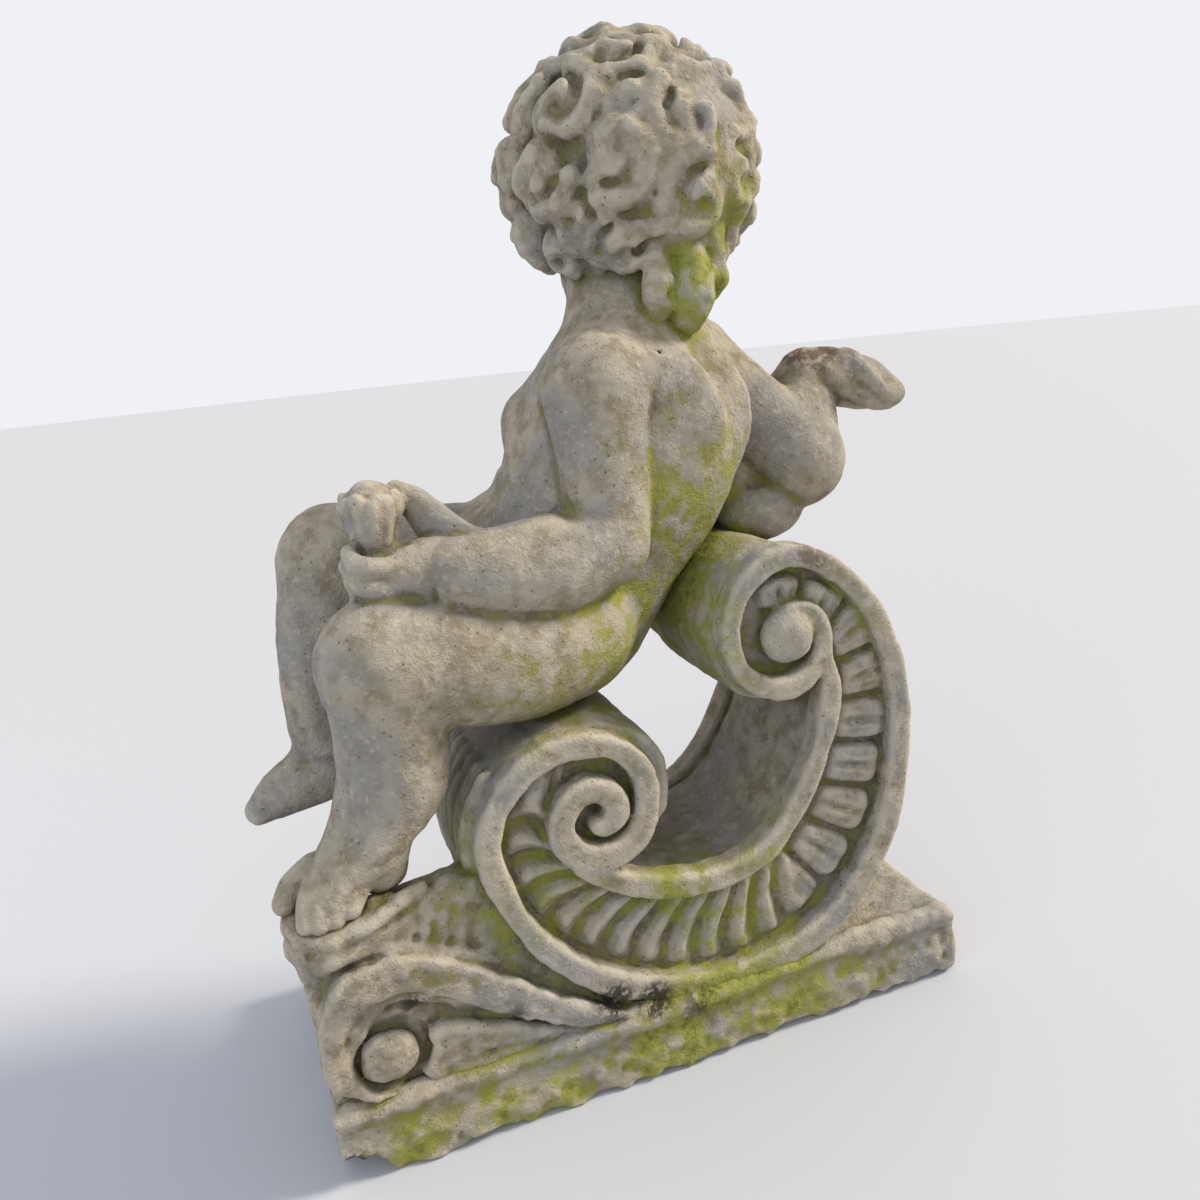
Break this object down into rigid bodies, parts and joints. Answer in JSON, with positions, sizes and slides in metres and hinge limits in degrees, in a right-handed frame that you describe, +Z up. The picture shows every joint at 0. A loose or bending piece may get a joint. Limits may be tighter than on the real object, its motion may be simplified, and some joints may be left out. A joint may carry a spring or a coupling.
{
  "type": "statue",
  "caption": "Carved limestone garden figure: a curly haired putto seated on the lower volute of a C scroll, leaning on the upper one, on a low rectangular plinth.",
  "frame": {"origin": "middle of the bounding box at the underside of the plinth", "axes": "+Z up, +X along the plinth towards the back of the scroll, -Y towards the carved side with the small scroll and the fluted channel; the left foot is at -X, and the child looks towards +Y and a little to -X"},
  "size_m": [0.735, 0.3052, 0.9516],
  "materials": {
    "limestone": "weathered, rough"
  },
  "bodies": {
    "root": {"stone_putto_statue": "limestone"}
  },
  "joints": []
}
